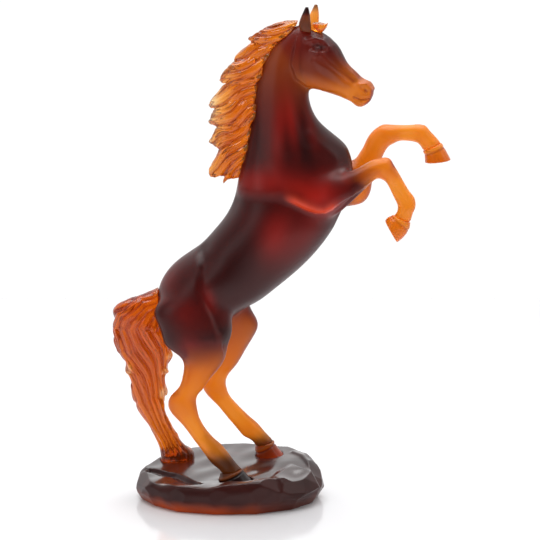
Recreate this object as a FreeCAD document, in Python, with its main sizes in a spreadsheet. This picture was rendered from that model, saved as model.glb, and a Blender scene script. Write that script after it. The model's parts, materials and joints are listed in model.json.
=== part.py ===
import FreeCAD, Part
import Sketcher
import math
import os

# Rearing horse statuette in kiln-cast crystal, on a rough-cut plinth.
# Millimetres, +Z up, the horse faces +X, its left side is +Y.
# The origin is the centre of the plinth's flat underside.
#
# Every section of the horse is drawn for a figure DRAWN_HEIGHT tall and is scaled by
# Dimensions.figure_height / DRAWN_HEIGHT, so one cell resizes the whole figure.

DRAWN_HEIGHT = 380
MOST_SWING = 40  # degrees that a limb's sections may turn through in one loft

DIMENSIONS = {
    "figure_height": 380,  # underside of the plinth to the tips of the ears
    "body_breadth": 1.0,  # multiplies every half width of the horse
    "head_turn": 20,  # degrees that the head is turned to the horse's right
    "poll_x": 56,  # the upright axis that the head turns on
    "neck_seam_z": 268,  # level seam between the trunk and the neck
    "mane_thickness": 14,  # across the thickest part of the mane
    "plinth_length": 147,
    "plinth_depth": 104,
    "plinth_belt_z": 8,  # height of the plinth's widest line
    "plinth_height": 24,  # at the middle of its sloping top
    "plinth_roll": 6.3,  # degrees that the top rises towards +Y
    "plinth_pitch": 2.5,  # degrees that the top rises towards +X
    "rim_drop": 5,  # height of the bevel round the plinth's top
}

# A section is an ellipse: (x, z) of its upper or front end, (x, z) of its lower or rear end,
# y of its centre, and its half width along Y.
TRUNK_AND_NECK = [
    (-55.5, 159, -52, 146, 0, 6),
    (-53.9, 165, -45, 135, 0, 15),
    (-50, 174.5, -25, 132, 0, 24),
    (-42.5, 184, -5.5, 138.5, 0, 29),
    (-32.5, 191.5, 11, 149, 0, 30.2),
    (-21.5, 199, 23, 156, 0, 30),
    (-11, 210, 36, 166, 0, 29),
    (-1, 223, 52, 179.5, 0, 30),
    (5, 237, 67, 195, 0, 30.5),
    (7.5, 250, 80, 213.5, 0, 29),
    (9.5, 261, 90, 235, 0, 26.5),
    (11.5, 270.5, 94.5, 256, 0, 24),
    (13.3, 277.5, 91, 271.5, 0, 22),
    (15.3, 287, 78, 284.5, 0, 18.5),
    (17, 296.5, 67, 295, 0, 16),
    (18.5, 306.5, 62, 305.5, 0, 14.5),
    (19.5, 316.5, 60.5, 314.5, 0, 13.5),
    (21.5, 327, 61, 323, 0, 12.5),
    (25.5, 338, 62, 330.5, 0, 12),
    (31.5, 348.5, 62.7, 338, 0, 11.5),
    (39.5, 358, 64, 344.5, 0, 10.5),
    (49, 365.5, 66.5, 351.5, 0, 9),
]

HEAD = [
    (54.3, 367.7, 45.7, 346.5, 0, 8),
    (61.4, 366.5, 48.9, 334.6, 0, 10.5),
    (67.8, 362.3, 52.8, 324.3, 0, 12),
    (74.1, 358.8, 60.8, 318.6, 0, 12.8),
    (80.5, 353.8, 69.5, 317.4, 0, 12.5),
    (86.1, 346.6, 77.5, 315.4, 0, 10.5),
    (90.9, 338.5, 84.7, 313.5, 0, 9),
    (96.5, 333.5, 90.3, 311.4, 0, 8),
    (102.1, 328.5, 95, 309.4, 0, 7.8),
    (106.9, 326.4, 99.1, 306.4, 0, 8.2),
    (110.1, 323.5, 104.6, 307.5, 0, 6.8),
    (111.6, 319.5, 108.9, 310.5, 0, 3.6),
]

# Drawn for the right side of a head that looks straight ahead.
EAR = [
    (64.5, 361, 56.5, 362.5, -7, 3.4),
    (65, 365.5, 55.8, 366, -8.5, 3.8),
    (65, 370, 56.8, 370, -9.6, 3.4),
    (64.6, 375, 59, 375, -10.2, 2.4),
    (63.6, 380, 61.4, 380, -10.4, 1),
]

FORELOCK = [
    (64.5, 368, 62, 359, -1, 4),
    (69.5, 368.2, 67.5, 359.5, -1, 3.6),
    (73.8, 367.2, 71.6, 361, -1, 2.8),
    (76, 368.6, 74, 366.4, -1, 1),
]

RIGHT_FORELEG = [
    (38, 254, 39, 236, -10, 5),
    (48, 259, 50, 229, -13, 10),
    (59, 260, 62, 224, -15, 12.5),
    (72, 259, 73.5, 221, -17, 12.5),
    (85, 258, 84, 226.5, -18.5, 11),
    (93, 260, 92.5, 234.5, -19.5, 10),
    (100.5, 263.3, 100.8, 243.6, -19.5, 8.5),
    (107.3, 267, 108.2, 251.2, -20, 7.2),
    (114.7, 268.5, 111.9, 253.4, -20, 7.2),
    (122.2, 264.8, 116.4, 251.9, -20, 6.6),
    (127, 258, 119, 248.5, -20, 5.6),
    (131.5, 250.4, 122.2, 242, -20, 5.2),
    (136, 243, 125.2, 236, -20, 5.6),
    (140.3, 235, 127, 230.7, -20, 6.2),
    (138.5, 227.8, 126.3, 227, -20, 5.6),
    (136.4, 220, 123.4, 225.4, -20, 6.4),
]
RIGHT_FORE_HOOF = [
    (136.4, 220, 123.4, 225.4, -20, 6.4),
    (135.5, 215.5, 121.1, 224.6, -20, 7.6),
    (126.6, 204.8, 117.4, 220.8, -20, 8.6),
]

LEFT_FORELEG = [
    (40, 254, 42, 238, 10, 5),
    (51, 260, 55, 231, 13, 10),
    (65, 262, 71, 226, 16, 12.5),
    (78.5, 261, 87, 224, 18, 12),
    (91, 260, 101, 227, 19, 11),
    (97.5, 263, 109, 242, 19.5, 9.5),
    (101.3, 269, 114.3, 257, 20, 8),
    (104.2, 275.4, 118.8, 267, 20, 7.5),
    (108.7, 282.3, 122.5, 272.3, 20, 7.4),
    (116, 286.9, 127, 274.8, 20, 7.2),
    (124, 287.8, 131, 275.6, 20, 6.4),
    (133, 287.6, 134.6, 275.4, 20, 5.4),
    (141, 288, 140, 274.8, 20, 5.6),
    (148.5, 287.4, 145.6, 272.4, 20, 6.4),
    (155.2, 280.8, 146.6, 270.2, 20, 5.8),
    (161.5, 273.9, 147.6, 267.7, 20, 6.6),
]
LEFT_FORE_HOOF = [
    (161.5, 273.9, 147.6, 267.7, 20, 6.6),
    (163.9, 270, 148.4, 266.2, 20, 7.4),
    (169, 260.8, 149.3, 258.5, 20, 9),
]

RIGHT_HIND_LEG = [
    (-14, 175, -46, 165, -15, 9),
    (-3, 163, -54, 158, -18.5, 12.5),
    (3, 147.5, -56.5, 146, -20, 14.5),
    (2, 130, -51, 132.2, -21.5, 14.5),
    (-2, 118.2, -39.7, 119.8, -22.5, 12),
    (-8, 107.3, -33.8, 110.4, -23.5, 9.8),
    (-15, 98.7, -35.3, 100.3, -24, 8.2),
    (-21, 90.5, -39.5, 91.5, -24, 7.5),
    (-24.5, 84, -45.6, 83, -24, 7.6),
    (-23.9, 77, -44.8, 75.5, -24, 7.2),
    (-22.8, 72, -39.8, 69.2, -24, 6.6),
    (-20.6, 66.6, -33, 61.5, -24.5, 5.8),
    (-14.6, 57.8, -27, 53, -25, 5.4),
    (-8.8, 52, -21, 45, -25.5, 5.8),
    (-2.5, 45.4, -15.2, 37.2, -26, 6.6),
    (2.4, 38.8, -11.8, 33, -26, 6.4),
    (6, 34, -8.2, 30.2, -26, 6.2),
    (10.4, 29.4, -6.3, 27, -26, 7.4),
]
RIGHT_HIND_HOOF = [
    (10.4, 29.4, -6.3, 27, -26, 7.4),
    (12.6, 26.6, -6.9, 25.2, -26, 8.6),
    (19, 19.2, -6.6, 19.2, -26, 10.4),
]

LEFT_HIND_LEG = [
    (0, 166, -34, 156, 15, 9),
    (16, 150, -40, 145, 19, 12.5),
    (22.1, 134, -38.2, 131.6, 21, 14.5),
    (18.2, 121.3, -29, 118, 22, 12.5),
    (11.2, 109.3, -20.5, 107.7, 22.5, 10.5),
    (5, 99, -15.4, 98.6, 22.5, 8.4),
    (-1.6, 90.5, -17.4, 90, 22.5, 7.2),
    (-2.9, 83.5, -20.7, 82, 22.5, 7.4),
    (-1.4, 77.6, -17.6, 75.2, 22.5, 6.6),
    (2.6, 71.4, -10.2, 67.4, 22.5, 5.8),
    (8.4, 65, -3, 58.4, 22.5, 5.4),
    (15.2, 58.2, 3.4, 50.6, 22.5, 5.6),
    (21.4, 52.6, 8.8, 44.4, 22.5, 6.4),
    (26.6, 46.6, 13.8, 40.6, 22.5, 6),
    (30.8, 41.8, 17.6, 38, 22.5, 6),
    (34.2, 37.6, 19.6, 34, 22.5, 7),
]
LEFT_HIND_HOOF = [
    (34.2, 37.6, 19.6, 34, 22.5, 7),
    (35.8, 35, 20, 31.6, 22.5, 7.8),
    (42.6, 26.6, 21.4, 23.6, 22.5, 9.4),
]

TAIL = [
    (-50, 168, -42, 150, 0, 8),
    (-60, 162.3, -46, 143, 0, 9.5),
    (-72, 158, -48, 138, 0, 11),
    (-82.5, 153.8, -48.5, 133, 0, 12.5),
    (-88.3, 144, -48, 128, 0, 13),
    (-88.7, 132, -46.5, 122.5, 1, 13),
    (-87.2, 119.5, -45, 116, 2, 12.5),
    (-82.2, 109.6, -45.5, 108.5, 3, 11.5),
    (-77.6, 99.5, -48.8, 99.2, 4, 10.5),
    (-76.3, 87.4, -49.5, 87, 6, 10),
    (-74.4, 76.5, -50.5, 75.5, 8, 9.5),
    (-70.6, 66.4, -49.5, 64.5, 10, 9),
    (-64, 54.3, -44.5, 53, 13, 8.5),
    (-58.3, 43.5, -39.3, 42.8, 16, 8.5),
    (-54.8, 34, -33.5, 34.5, 19, 9.5),
    (-54.6, 23, -28.4, 24, 21, 11),
]

# The mane's locks, from the poll down to the withers. Each runs from inside the neck to its tip.
# Here a section's last number is its width as a share of the mane's whole thickness.
MANE_LOCKS = [
    [
        (52, 369, 46, 353, 0, 0.8),
        (40, 368, 39, 350, 0, 1),
        (29, 364, 31, 345, 0, 0.9),
        (15, 356, 16.5, 353.5, 0, 0.2),
    ],
    [
        (36, 352, 27, 334, 1, 1),
        (19.5, 353.5, 8, 338, 1.5, 0.8),
        (5.5, 342, 4.5, 339.5, 2, 0.15),
    ],
    [
        (28, 342, 23, 321, -1, 1),
        (7, 340, 0, 321.5, -1.5, 0.8),
        (-6, 327.5, -7, 324.5, -2, 0.15),
    ],
    [
        (24, 327, 21, 304, 1, 1),
        (1.5, 324, -9, 302.5, 1.5, 0.85),
        (-14, 308.5, -15, 305.5, 2, 0.15),
    ],
    [
        (22, 311, 20, 291, -1, 1),
        (-8, 305, -7, 288, -1.5, 0.8),
        (-14, 296, -15, 293, -2, 0.15),
    ],
    [
        (21, 297, 18, 275, 1, 1),
        (-6, 291, -6.5, 272.5, 1.5, 0.85),
        (-13.5, 280, -14.5, 277, 2, 0.15),
    ],
    [
        (19, 283, 15, 259, -1, 1),
        (-4, 276, -8, 251, -1.5, 0.85),
        (-14.5, 256.5, -15.5, 253.5, -2, 0.15),
    ],
    [
        (18, 270, 15, 252, 1, 1),
        (3, 266, 2, 249, 1.5, 0.9),
        (-3.5, 247, -4.5, 244, 2, 0.2),
    ],
]

# The plinth's outline: for each corner, its angle and how far it lies from the oval's centre,
# as a share of the oval's radius there.
PLINTH_CORNERS = [
    (0, 1.0),
    (24, 0.99),
    (48, 1.02),
    (72, 0.98),
    (96, 1.0),
    (122, 1.01),
    (146, 0.98),
    (168, 1.0),
    (190, 1.0),
    (212, 0.98),
    (236, 1.01),
    (262, 0.99),
    (288, 1.0),
    (314, 1.01),
    (338, 1.0),
]
FOOT_SHARE = 0.93  # the underside's outline beside the widest one
SHOULDER_SHARE = 0.97  # where the side wall meets the rim's bevel
TOP_SHARE = 0.9  # the top face inside the bevel


def start_document():
    """The document with its sheet of driving dimensions."""
    doc = FreeCAD.newDocument("RearingHorse")
    sheet = doc.addObject("Spreadsheet::Sheet", "Dimensions")
    for row, (alias, value) in enumerate(DIMENSIONS.items(), start=1):
        sheet.set(f"A{row}", alias)
        sheet.set(f"B{row}", str(value))
        sheet.setAlias(f"B{row}", alias)
    doc.recompute()
    return doc


def drawn(value):
    """The expression for a size that grows with the figure."""
    return f"Dimensions.figure_height * {value:.4f} / {DRAWN_HEIGHT}"


def ring(doc, name, section, breadth="Dimensions.body_breadth"):
    """One elliptical section, its long axis in the XZ plane."""
    front_x, front_z, rear_x, rear_z, y, half_width = section
    along = FreeCAD.Vector(front_x - rear_x, 0, front_z - rear_z)
    ellipse = doc.addObject("Part::Ellipse", name)
    ellipse.Placement.Rotation = FreeCAD.Rotation(
        along, FreeCAD.Vector(0, 1, 0), FreeCAD.Vector(0, 0, 0), "XYZ"
    )
    # The closed curve starts at its left side, so every loft's seam runs down its flank.
    ellipse.Angle1 = 90
    ellipse.Angle2 = 90
    ellipse.setExpression("MajorRadius", drawn(along.Length / 2))
    ellipse.setExpression("MinorRadius", f"{drawn(half_width)} * {breadth}")
    ellipse.setExpression("Placement.Base.x", drawn((front_x + rear_x) / 2))
    ellipse.setExpression("Placement.Base.y", drawn(y))
    ellipse.setExpression("Placement.Base.z", drawn((front_z + rear_z) / 2))
    return ellipse


def slope(section):
    """The direction of a section's long axis in side view, in degrees."""
    front_x, front_z, rear_x, rear_z = section[:4]
    return math.degrees(math.atan2(front_z - rear_z, front_x - rear_x))


def stretches(sections, most_swing):
    """The row of sections as numbered stretches, each turning through most_swing at the most."""
    rows = [[0]]
    for number in range(1, len(sections)):
        swing = (slope(sections[number]) - slope(sections[rows[-1][0]]) + 180) % 360 - 180
        if abs(swing) > most_swing and len(rows[-1]) > 1:
            rows.append([number - 1])
        rows[-1].append(number)
    return rows


def loft(doc, label, sections, breadth="Dimensions.body_breadth", most_swing=MOST_SWING):
    """A solid through a row of elliptical sections, lofted stretch by stretch where it bends."""
    rings = [
        ring(doc, f"{label}_section_{number}", section, breadth)
        for number, section in enumerate(sections, start=1)
    ]
    rows = stretches(sections, most_swing)
    lofts = []
    for number, row in enumerate(rows, start=1):
        solid = doc.addObject("Part::Loft", f"{label}_stretch_{number}")
        solid.Sections = [rings[index] for index in row]
        solid.Solid = True
        solid.Ruled = False
        lofts.append(solid)
    if len(lofts) == 1:
        whole = lofts[0]
    else:
        whole = doc.addObject("Part::MultiFuse", f"{label}_whole")
        whole.Shapes = lofts
    whole.Label = label
    return whole


def cut(doc, label, base, *tools):
    """base with each tool taken off in turn. The last step carries the label."""
    for number, tool in enumerate(tools, start=1):
        step = doc.addObject("Part::Cut", f"{label}_cut_{number}")
        step.Base = base
        step.Tool = tool
        base = step
    base.Label = label
    return base


def common(doc, label, base, tool):
    step = doc.addObject("Part::Common", label)
    step.Base = base
    step.Tool = tool
    step.Label = label
    return step


def turn_with_head(solid):
    """Turns a piece drawn for a straight head about the upright axis through the poll."""
    poll = drawn(DIMENSIONS["poll_x"])
    turn = "Dimensions.head_turn * 1 deg"
    solid.Placement.Rotation = FreeCAD.Rotation(FreeCAD.Vector(0, 0, 1), -DIMENSIONS["head_turn"])
    solid.setExpression("Placement.Rotation.Angle", f"0 deg - {turn}")
    solid.setExpression("Placement.Base.x", f"{poll} * (1 - cos({turn}))")
    solid.setExpression("Placement.Base.y", f"{poll} * sin({turn})")
    return solid


def mirrored(sections):
    """The same sections on the other side of the horse."""
    return [(*section[:4], -section[4], section[5]) for section in sections]


def space_above_seam(doc):
    """A block that holds everything above the seam between trunk and neck."""
    block = doc.addObject("Part::Box", "space_above_seam")
    for side in ("Length", "Width", "Height"):
        block.setExpression(side, drawn(DRAWN_HEIGHT))
    block.setExpression("Placement.Base.x", drawn(-DRAWN_HEIGHT / 2))
    block.setExpression("Placement.Base.y", drawn(-DRAWN_HEIGHT / 2))
    block.setExpression("Placement.Base.z", drawn(DIMENSIONS["neck_seam_z"]))
    return block


def origin_plane(body, role):
    return next(f for f in body.Origin.OriginFeatures if f.Role == role)


def closed_outline(body, name, plane, corners):
    """A sketch of a closed polygon, each corner held by two expressions in the sketch's own X and Y."""
    sketch = body.newObject("Sketcher::SketchObject", name)
    sketch.AttachmentSupport = [(origin_plane(body, plane), "")]
    sketch.MapMode = "FlatFace"
    points = [FreeCAD.Vector(x, y, 0) for x, y, _, _ in corners]
    count = len(points)
    for i in range(count):
        sketch.addGeometry(Part.LineSegment(points[i], points[(i + 1) % count]), False)
    for i in range(count):
        sketch.addConstraint(Sketcher.Constraint("Coincident", i, 2, (i + 1) % count, 1))
    for i, (x, y, x_size, y_size) in enumerate(corners):
        place_corner(sketch, i, "DistanceX", x, x_size)
        place_corner(sketch, i, "DistanceY", y, y_size)
    return sketch


def place_corner(sketch, corner, kind, value, size):
    """Holds one coordinate of a corner at a signed distance from the sketch's origin."""
    origin = (-1, 1)
    number = sketch.addConstraint(Sketcher.Constraint(kind, *origin, corner, 1, value))
    sketch.setExpression(f"Constraints[{number}]", size)


def plinth_outline(body, name, share):
    """The plinth's outline at one level, drawn in the XY plane."""
    corners = []
    for angle, reach in PLINTH_CORNERS:
        x_share = round(share * reach * math.cos(math.radians(angle)) / 2, 4)
        y_share = round(share * reach * math.sin(math.radians(angle)) / 2, 4)
        corners.append(
            (
                DIMENSIONS["plinth_length"] * x_share,
                DIMENSIONS["plinth_depth"] * y_share,
                f"Dimensions.plinth_length * {x_share}",
                f"Dimensions.plinth_depth * {y_share}",
            )
        )
    return closed_outline(body, name, "XY_Plane", corners)


def make_plinth(doc):
    """The rough-cut plinth: flat underside, faceted wall, bevelled rim and a sloping top."""
    body = doc.addObject("PartDesign::Body", "plinth_block")
    foot = plinth_outline(body, "plinth_foot", FOOT_SHARE)
    belt = plinth_outline(body, "plinth_belt", 1.0)
    shoulder = plinth_outline(body, "plinth_shoulder", SHOULDER_SHARE)
    top = plinth_outline(body, "plinth_top", TOP_SHARE)
    belt.setExpression("AttachmentOffset.Base.z", "Dimensions.plinth_belt_z")
    shoulder.setExpression(
        "AttachmentOffset.Base.z", "Dimensions.plinth_height - Dimensions.rim_drop"
    )
    top.setExpression("AttachmentOffset.Base.z", "Dimensions.plinth_height")
    for level in (shoulder, top):
        level.setExpression(
            "AttachmentOffset.Rotation.Roll", "Dimensions.plinth_roll * 1 deg"
        )
        level.setExpression(
            "AttachmentOffset.Rotation.Pitch", "0 deg - Dimensions.plinth_pitch * 1 deg"
        )
    doc.recompute()
    block = body.newObject("PartDesign::AdditiveLoft", "plinth_loft")
    block.Profile = foot
    block.Sections = [belt, shoulder, top]
    block.Ruled = True
    body.Tip = block
    return body


def make_mane(doc, core, head):
    """The mane: overlapping locks, seated on the crest of the neck."""
    locks = doc.addObject("Part::MultiFuse", "mane_locks")
    locks.Shapes = [
        loft(doc, f"lock_{number}", sections, "Dimensions.mane_thickness / 2")
        for number, sections in enumerate(MANE_LOCKS, start=1)
    ]
    return cut(doc, "mane", locks, head, core)


def make_pieces(doc):
    """Every piece of the statuette, by the name it is handed over under."""
    core = loft(doc, "trunk_and_neck", TRUNK_AND_NECK, most_swing=90)
    head = turn_with_head(loft(doc, "head", HEAD))
    right_ear = turn_with_head(loft(doc, "right_ear_blank", EAR))
    left_ear = turn_with_head(loft(doc, "left_ear_blank", mirrored(EAR)))
    forelock = turn_with_head(loft(doc, "forelock_blank", FORELOCK))
    hooves = {
        "right_fore_hoof": RIGHT_FORE_HOOF,
        "left_fore_hoof": LEFT_FORE_HOOF,
        "right_hind_hoof": RIGHT_HIND_HOOF,
        "left_hind_hoof": LEFT_HIND_HOOF,
    }
    legs = {
        "right_foreleg": RIGHT_FORELEG,
        "left_foreleg": LEFT_FORELEG,
        "right_hind_leg": RIGHT_HIND_LEG,
        "left_hind_leg": LEFT_HIND_LEG,
    }
    pieces = {name: loft(doc, name, sections) for name, sections in hooves.items()}
    for name, sections in legs.items():
        pieces[name] = cut(doc, name, loft(doc, f"{name}_blank", sections), core)
    hind_legs = [pieces["right_hind_leg"], pieces["left_hind_leg"]]
    hind_hooves = [pieces["right_hind_hoof"], pieces["left_hind_hoof"]]

    tail = cut(doc, "tail", loft(doc, "tail_blank", TAIL), core, *hind_legs)
    above = space_above_seam(doc)
    neck = common(doc, "neck_blank", core, above)
    pieces.update(
        {
            "head": head,
            "trunk": cut(doc, "trunk", core, above),
            "neck": cut(doc, "neck", neck, head),
            "right_ear": cut(doc, "right_ear", right_ear, head, core),
            "left_ear": cut(doc, "left_ear", left_ear, head, core),
            "forelock": cut(doc, "forelock", forelock, head, right_ear, left_ear),
            "mane": make_mane(doc, core, head),
            "tail": tail,
            "plinth": cut(doc, "plinth", make_plinth(doc), *hind_hooves, tail),
        }
    )
    return pieces


def check(doc, pieces):
    """Stops if any object failed, or any piece isn't made of valid closed solids."""
    failed = [o.Name for o in doc.Objects if {"Invalid", "Error"} & set(o.State)]
    if failed:
        raise RuntimeError(f"failed objects: {failed}")
    for name, piece in pieces.items():
        shape = piece.Shape
        if shape.isNull() or not shape.isValid() or not shape.Solids:
            raise RuntimeError(f"{name} has no valid solid")


def export(pieces):
    os.makedirs("parts", exist_ok=True)
    for name, piece in sorted(pieces.items()):
        piece.Shape.exportStep(os.path.join("parts", f"{name}.step"))
        print(f"{name}: {len(piece.Shape.Solids)} solid, {piece.Shape.Volume / 1000:.1f} cm3")


def main():
    doc = start_document()
    pieces = make_pieces(doc)
    doc.recompute()
    check(doc, pieces)
    export(pieces)


main()
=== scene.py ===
import json
import math

import bpy
import numpy as np
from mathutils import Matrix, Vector
from mathutils.bvhtree import BVHTree

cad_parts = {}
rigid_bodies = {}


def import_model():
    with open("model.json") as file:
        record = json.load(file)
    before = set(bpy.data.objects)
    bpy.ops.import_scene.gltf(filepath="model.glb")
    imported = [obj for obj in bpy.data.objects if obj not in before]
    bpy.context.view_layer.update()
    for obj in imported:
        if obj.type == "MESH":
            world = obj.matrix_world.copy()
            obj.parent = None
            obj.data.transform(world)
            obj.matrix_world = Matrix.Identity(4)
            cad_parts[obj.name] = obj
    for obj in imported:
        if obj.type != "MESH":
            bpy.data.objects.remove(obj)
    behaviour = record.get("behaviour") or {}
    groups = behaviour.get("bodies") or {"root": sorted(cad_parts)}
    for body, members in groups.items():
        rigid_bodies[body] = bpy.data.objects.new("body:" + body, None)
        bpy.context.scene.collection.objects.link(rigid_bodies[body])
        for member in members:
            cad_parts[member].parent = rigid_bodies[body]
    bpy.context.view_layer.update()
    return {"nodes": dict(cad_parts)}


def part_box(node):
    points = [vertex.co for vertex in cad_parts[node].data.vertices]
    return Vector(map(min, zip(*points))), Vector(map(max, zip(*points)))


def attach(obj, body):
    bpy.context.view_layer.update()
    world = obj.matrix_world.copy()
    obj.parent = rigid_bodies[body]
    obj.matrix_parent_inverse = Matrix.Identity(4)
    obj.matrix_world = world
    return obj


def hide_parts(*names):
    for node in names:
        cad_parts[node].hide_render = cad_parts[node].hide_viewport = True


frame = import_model()

# All lengths below are millimetres in the frame: the horse faces +X, its left is +Y, up is +Z.
MM = 0.001
HEAD_TURN = math.radians(20)  # the head is turned to the horse's right
POLL_X = 56  # the upright axis that it turns on
RIGHT = -1
LEFT = 1

SKIN_NODES = (
    "trunk",
    "neck",
    "head",
    "right_foreleg",
    "left_foreleg",
    "right_hind_leg",
    "left_hind_leg",
)
HOOVES = ("right_fore_hoof", "left_fore_hoof", "right_hind_hoof", "left_hind_hoof")

# How fine each piece's mesh is: the side of one voxel when it is remeshed.
BODY_VOXEL = 1.2
HOOF_VOXEL = 0.5
EAR_VOXEL = 0.4
MANE_VOXEL = 0.6
TAIL_VOXEL = 0.62
ROCK_VOXEL = 0.85

# The back line of the neck, in side view, from the poll to the withers.
CREST = [
    (52, 364),
    (40, 357),
    (31, 347),
    (25, 337),
    (21, 326),
    (19, 310),
    (17, 296),
    (14, 280),
    (11, 262),
    (6, 245),
]

# The lower edge of the shoulder, in side view, from the withers to the elbow and up to the forearm.
SHOULDER_EDGE = [
    (-6, 239),
    (5.5, 239.7),
    (30, 240.4),
    (40, 239.7),
    (48, 236.6),
    (54, 233.5),
    (60, 230.5),
    (66, 228.4),
    (72.5, 228),
    (78, 231),
    (82, 235),
    (88, 239),
]

# The tail's course: outer edge and inner edge in side view, y of its middle, half thickness.
TAIL_COURSE = [
    ((-58, 163), (-46, 144), 0, 9),
    ((-72, 158), (-48, 138), 0, 11),
    ((-88, 144), (-48, 128), 0, 13),
    ((-87.5, 120), (-45.5, 116.5), 2, 12.5),
    ((-78, 99.5), (-49, 99), 4, 10.5),
    ((-74.5, 76.5), (-50.5, 75.5), 8, 9.5),
    ((-64.5, 54.5), (-44.5, 53), 13, 8.5),
    ((-58.5, 43.5), (-39, 43), 16, 8.5),
    ((-54.5, 27), (-29, 27.5), 20.5, 10.5),
]


# ---------------------------------------------------------------- working with meshes


def select_only(*objects):
    bpy.ops.object.select_all(action="DESELECT")
    for item in objects:
        item.select_set(True)
    bpy.context.view_layer.objects.active = objects[0]


def copy_of_nodes(name, nodes):
    """One mesh made from copies of CAD nodes, each merged into a closed shell."""
    copies = []
    for node in nodes:
        select_only(frame["nodes"][node])
        bpy.ops.object.duplicate()
        twin = bpy.context.view_layer.objects.active
        bpy.ops.object.parent_clear(type="CLEAR_KEEP_TRANSFORM")
        bpy.ops.object.transform_apply(location=True, rotation=True, scale=True)
        copies.append(twin)
    select_only(*copies)
    if len(copies) > 1:
        bpy.ops.object.join()
    piece = bpy.context.view_layer.objects.active
    piece.name = name
    piece.data.name = name
    piece.data.materials.clear()
    bpy.ops.object.mode_set(mode="EDIT")
    bpy.ops.mesh.select_all(action="SELECT")
    bpy.ops.mesh.remove_doubles(threshold=0.00001)
    bpy.ops.mesh.normals_make_consistent(inside=False)
    bpy.ops.object.mode_set(mode="OBJECT")
    return piece


def apply_modifier(piece, kind, **settings):
    select_only(piece)
    modifier = piece.modifiers.new(kind.lower(), kind)
    for key, value in settings.items():
        setattr(modifier, key, value)
    bpy.ops.object.modifier_apply(modifier=modifier.name)


def remesh(piece, voxel, rounds, factor=0.5):
    """Rebuilds the piece as one even skin and relaxes its seams."""
    apply_modifier(piece, "REMESH", mode="VOXEL", voxel_size=voxel * MM, use_smooth_shade=True)
    if rounds:
        apply_modifier(piece, "SMOOTH", factor=factor, iterations=rounds)


def positions(piece):
    flat = np.empty(len(piece.data.vertices) * 3)
    piece.data.vertices.foreach_get("co", flat)
    return flat.reshape(-1, 3) / MM


def normals(piece):
    flat = np.empty(len(piece.data.vertices) * 3)
    piece.data.vertices.foreach_get("normal", flat)
    return flat.reshape(-1, 3)


def set_positions(piece, points):
    piece.data.vertices.foreach_set("co", (points * MM).ravel())
    piece.data.update()


def push(piece, amount):
    """Moves every vertex along its normal by its own amount."""
    set_positions(piece, positions(piece) + normals(piece) * amount[:, None])


def set_attribute(piece, name, values):
    attribute = piece.data.attributes.new(name, "FLOAT", "POINT")
    attribute.data.foreach_set("value", np.ascontiguousarray(values, dtype=np.float32))


def averaged(piece, values, rounds):
    """The values, each mixed with its neighbours' over and over."""
    ends = np.empty(len(piece.data.edges) * 2, dtype=np.int32)
    piece.data.edges.foreach_get("vertices", ends)
    a, b = ends.reshape(-1, 2).T
    count = len(values)
    around = np.bincount(a, minlength=count) + np.bincount(b, minlength=count)
    for _ in range(rounds):
        total = np.bincount(a, weights=values[b], minlength=count)
        total = total + np.bincount(b, weights=values[a], minlength=count)
        values = 0.5 * values + 0.5 * total / np.maximum(around, 1)
    return values


def relax(piece, share, rounds):
    """Smooths the skin where share is above 0, more where it is nearer 1."""
    points = positions(piece)
    share = share[:, None]
    for _ in range(rounds):
        middle = np.column_stack([averaged(piece, points[:, axis], 1) for axis in range(3)])
        points = points + share * (middle - points)
    set_positions(piece, points)


def thickness(piece, reach=70.0, rounds=6):
    """How much crystal lies behind each vertex, in millimetres."""
    faces = [tuple(face.vertices) for face in piece.data.polygons]
    vertices = [v.co.copy() for v in piece.data.vertices]
    tree = BVHTree.FromPolygons(vertices, faces)
    depths = np.empty(len(vertices))
    for index, vertex in enumerate(piece.data.vertices):
        inward = -vertex.normal
        hit = tree.ray_cast(vertex.co + inward * 0.0002, inward, reach * MM)
        depths[index] = hit[3] / MM if hit[3] is not None else reach
    return averaged(piece, depths, rounds)


def hollow(piece, rounds, depth):
    """1 where a vertex lies that deep below the surface around it, 0 where it stands proud."""
    points = positions(piece)
    even = np.column_stack([averaged(piece, points[:, axis], rounds) for axis in range(3)])
    return np.clip(((even - points) * normals(piece)).sum(axis=1) / depth, 0, 1)


def ramped(low, high, values):
    """0 below low, 1 above high, with a soft start and stop between them."""
    share = np.clip((values - low) / (high - low), 0, 1)
    return share * share * (3 - 2 * share)


def from_route(flat_points, route):
    """Each point's distance from a route drawn in side view, and on which side of it the point lies."""
    nearest = np.full(len(flat_points), np.inf)
    side = np.zeros(len(flat_points))
    for start, end in zip(np.array(route[:-1], float), np.array(route[1:], float)):
        along = end - start
        share = np.clip((flat_points - start) @ along / (along @ along), 0, 1)
        gap = flat_points - (start + share[:, None] * along)
        distance = np.hypot(gap[:, 0], gap[:, 1])
        closer = distance < nearest
        cross = along[0] * gap[:, 1] - along[1] * gap[:, 0]
        side = np.where(closer, np.sign(cross), side)
        nearest = np.where(closer, distance, nearest)
    return nearest, side


def along(flat_points, route):
    """How far down a route each point lies, counted in the route's own corners."""
    nearest = np.full(len(flat_points), np.inf)
    place = np.zeros(len(flat_points))
    for number, (start, end) in enumerate(zip(np.array(route[:-1], float), np.array(route[1:], float))):
        run = end - start
        share = np.clip((flat_points - start) @ run / (run @ run), 0, 1)
        gap = flat_points - (start + share[:, None] * run)
        distance = np.hypot(gap[:, 0], gap[:, 1])
        closer = distance < nearest
        nearest = np.where(closer, distance, nearest)
        place = np.where(closer, number + share, place)
    return place


def patch(x, z, middle, across, up, lean=0):
    """A soft oval spot in side view: 1 at its middle, fading out past its two half sizes."""
    turn = math.radians(lean)
    dx, dz = x - middle[0], z - middle[1]
    along_x = (dx * math.cos(turn) + dz * math.sin(turn)) / across
    along_z = (dz * math.cos(turn) - dx * math.sin(turn)) / up
    return np.exp(-(along_x**2 + along_z**2))


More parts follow.
